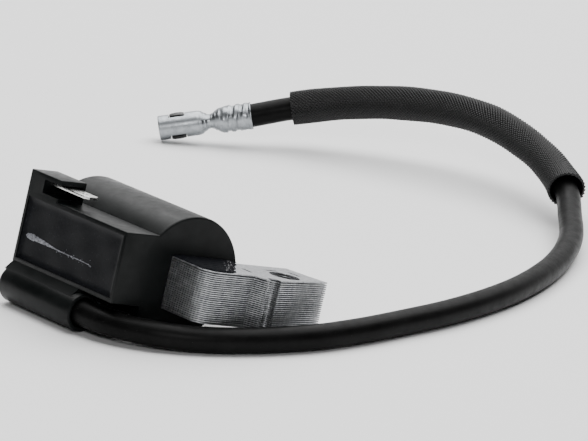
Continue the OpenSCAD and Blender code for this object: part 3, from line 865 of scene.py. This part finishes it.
def stacked(outline, holes, marks, count, x_shift, mirrored, seed):
    """count plates, each nudged a few hundredths of a millimetre, with the marks cut in the top two."""
    rng = random.Random(seed)
    pitch, thickness, slack = CORE_T / count, 0.34, 0.06
    whole = bmesh.new()
    for i in range(count):
        loops = [outline] + holes + (marks if i >= count - 2 else [])
        if mirrored:
            loops = [[(-x, y) for x, y in loop] for loop in loops]
        sheet = plate(loops, thickness, 0.06)
        lift = i * pitch + (pitch - thickness) * (1 if i == count - 1 else 0.5)
        nudge = Vector((x_shift + rng.uniform(-slack, slack), rng.uniform(-slack, slack), lift))
        bmesh.ops.translate(sheet, verts=sheet.verts, vec=nudge)
        mesh = mesh_from(sheet)
        whole.from_mesh(mesh)
        bpy.data.meshes.remove(mesh)
    return mesh_from(whole, COIL_POSE)


def make_core(edge_material):
    plates = 26
    marks = [interlock(9.5, 35, 0), interlock(6.4, 45.8, 90), interlock(8.8, 52.0, 12)]
    hole = [arc(HOLE_X, HOLE_Y, HOLE_R, 0, 354, 59)]
    outline = leg_outline()
    to_object("right_leg_plates", stacked(outline, hole, marks, plates, CASE_L, False, 1), edge_material,
              replaced=["right_leg_stack"])
    to_object("left_leg_plates", stacked(outline, hole, marks, plates, 0, True, 2), edge_material,
              replaced=["left_leg_stack"])
    near, far, over = CAN_Y - BAR_W / 2, CAN_Y + BAR_W / 2, BAR_OVER - 0.05
    bar = [(-over, near), (CASE_L + over, near), (CASE_L + over, far), (-over, far)]
    to_object("core_bar_plates", stacked(bar, [], [], plates, 0, False, 3), edge_material,
              replaced=["core_bar"])


# ---- finishes of the CAD pieces that stay ----

def finish_cad_nodes():
    nylon = mottled("bobbin_nylon", (0.62, 0.58, 0.46), (0.78, 0.75, 0.66), 0.45, 5)
    copper = wound_wire()
    brass = mottled("plain_brass", (0.50, 0.34, 0.12), (0.78, 0.58, 0.26), 0.3, 2, metal=1.0)
    black = mottled("moulded_epoxy", (0.015, 0.015, 0.016), (0.035, 0.035, 0.037), 0.35, 1.5)
    finishes = {
        "primary_bobbin": nylon, "secondary_bobbin": nylon, "primary_winding": copper,
        "secondary_winding": copper, "hv_wire": copper, "lead_conductor": copper,
        "circuit_board": mottled("board_laminate", (0.02, 0.12, 0.05), (0.04, 0.20, 0.09), 0.4, 3),
        "power_transistor": black, "diode": black,
        "capacitor": mottled("dipped_film", (0.45, 0.14, 0.03), (0.62, 0.24, 0.06), 0.3, 2),
        "resistors": mottled("resistor_lacquer", (0.16, 0.32, 0.42), (0.28, 0.46, 0.58), 0.3, 1),
        "ground_strip": brass, "lead_spike": brass,
    }
    for name, material in finishes.items():
        mesh = frame["nodes"][name].data
        mesh.materials.clear()
        mesh.materials.append(material)


# ---- stage ----

FLOOR_HALF, FLOOR_GAP = 4, 0.0002
HORIZON_LEVEL, ZENITH_LEVEL, BACKDROP_LEVEL = 0.12, 1.8, 26.0


def area_light(name, place, aim, size, power):
    data = bpy.data.lights.new(name, "AREA")
    data.shape = "RECTANGLE"
    data.size, data.size_y = size
    data.energy = power
    light = bpy.data.objects.new(name, data)
    light.location = place
    light.rotation_euler = (Vector(aim) - Vector(place)).to_track_quat("-Z", "Y").to_euler()
    bpy.context.scene.collection.objects.link(light)


def make_stage():
    bm = bmesh.new()
    bmesh.ops.create_grid(bm, x_segments=1, y_segments=1, size=FLOOR_HALF)
    mesh = bpy.data.meshes.new("floor")
    bm.to_mesh(mesh)
    bm.free()
    material, tree, shader = new_material("pale_floor", (0.92, 0.92, 0.92), 0.9, specular=0.1)
    tree.links.new(mix_color(tree, noise(tree, 60), (0.93, 0.93, 0.93), (0.95, 0.95, 0.95)),
                   shader.inputs["Base Color"])
    mesh.materials.append(material)
    floor = bpy.data.objects.new("floor", mesh)
    floor.location.z = -FLOOR_GAP
    bpy.context.scene.collection.objects.link(floor)
    make_sky()
    area_light("overhead", (-0.3, 0.6, 2.0), (0, 0.05, 0), (3, 3), 130)
    area_light("camera_side", (1.25, -1.05, 0.85), (0, 0.0, 0), (0.35, 0.35), 9)


def make_sky():
    """A studio that is bright overhead, white behind the object and dim on the camera's side."""
    world = bpy.data.worlds.new("studio")
    world.use_nodes = True
    tree = world.node_tree
    way = tree.nodes.new("ShaderNodeTexCoord").outputs["Generated"]
    split = tree.nodes.new("ShaderNodeSeparateXYZ")
    tree.links.new(way, split.inputs["Vector"])
    behind = tree.nodes.new("ShaderNodeVectorMath")
    behind.operation = "DOT_PRODUCT"
    behind.inputs[1].default_value = (-0.75, 0.66, 0)
    tree.links.new(way, behind.inputs[0])
    backdrop = remap(tree, behind.outputs["Value"], 0.45, 0.85, 0, 1)
    low = remap(tree, split.outputs["Z"], 0.4, 0.85, BACKDROP_LEVEL, 0)
    screen = tree.nodes.new("ShaderNodeMath")
    screen.operation = "MULTIPLY"
    tree.links.new(backdrop, screen.inputs[0])
    tree.links.new(low, screen.inputs[1])
    level = tree.nodes.new("ShaderNodeMath")
    level.operation = "ADD"
    tree.links.new(screen.outputs[0], level.inputs[0])
    tree.links.new(remap(tree, split.outputs["Z"], 0.0, 1.0, HORIZON_LEVEL, ZENITH_LEVEL), level.inputs[1])
    tree.links.new(level.outputs[0], tree.nodes["Background"].inputs["Strength"])
    bpy.context.scene.world = world


place_camera()
make_stage()
lead = make_lead(black_rubber())
sleeve = make_sleeve(braid_yarn())
terminal = make_terminal(tin_plate())
clip_material = black_oxide()
jaw_upper = make_jaw("clip_upper", "jaw_upper", 90 + WINDOW_TURN, clip_material, ["clip_jaw_upper"])
jaw_lower = make_jaw("clip_lower", "jaw_lower", 270 + WINDOW_TURN, clip_material, ["clip_jaw_lower"])
make_case(moulded_plastic())
make_potting(cast_resin())
make_smear(smeared_resin())
# painted reflection of the can's dark end face in the leg's top: a black sheet, rough and nearly without
# gloss so that it stays black
make_painted_reflection_sheet(cast_resin("painted_reflection_matt", 0.75, 0.03))
make_shiny_crumbs(mottled("glassy_resin", (0.02, 0.02, 0.022), (0.10, 0.10, 0.11), 0.12, 0.6))
make_tab(tin_plate("tinned_brass", (0.82, 0.82, 0.80), (0.2, 0.35)))
make_core(sheared_steel())
finish_cad_nodes()
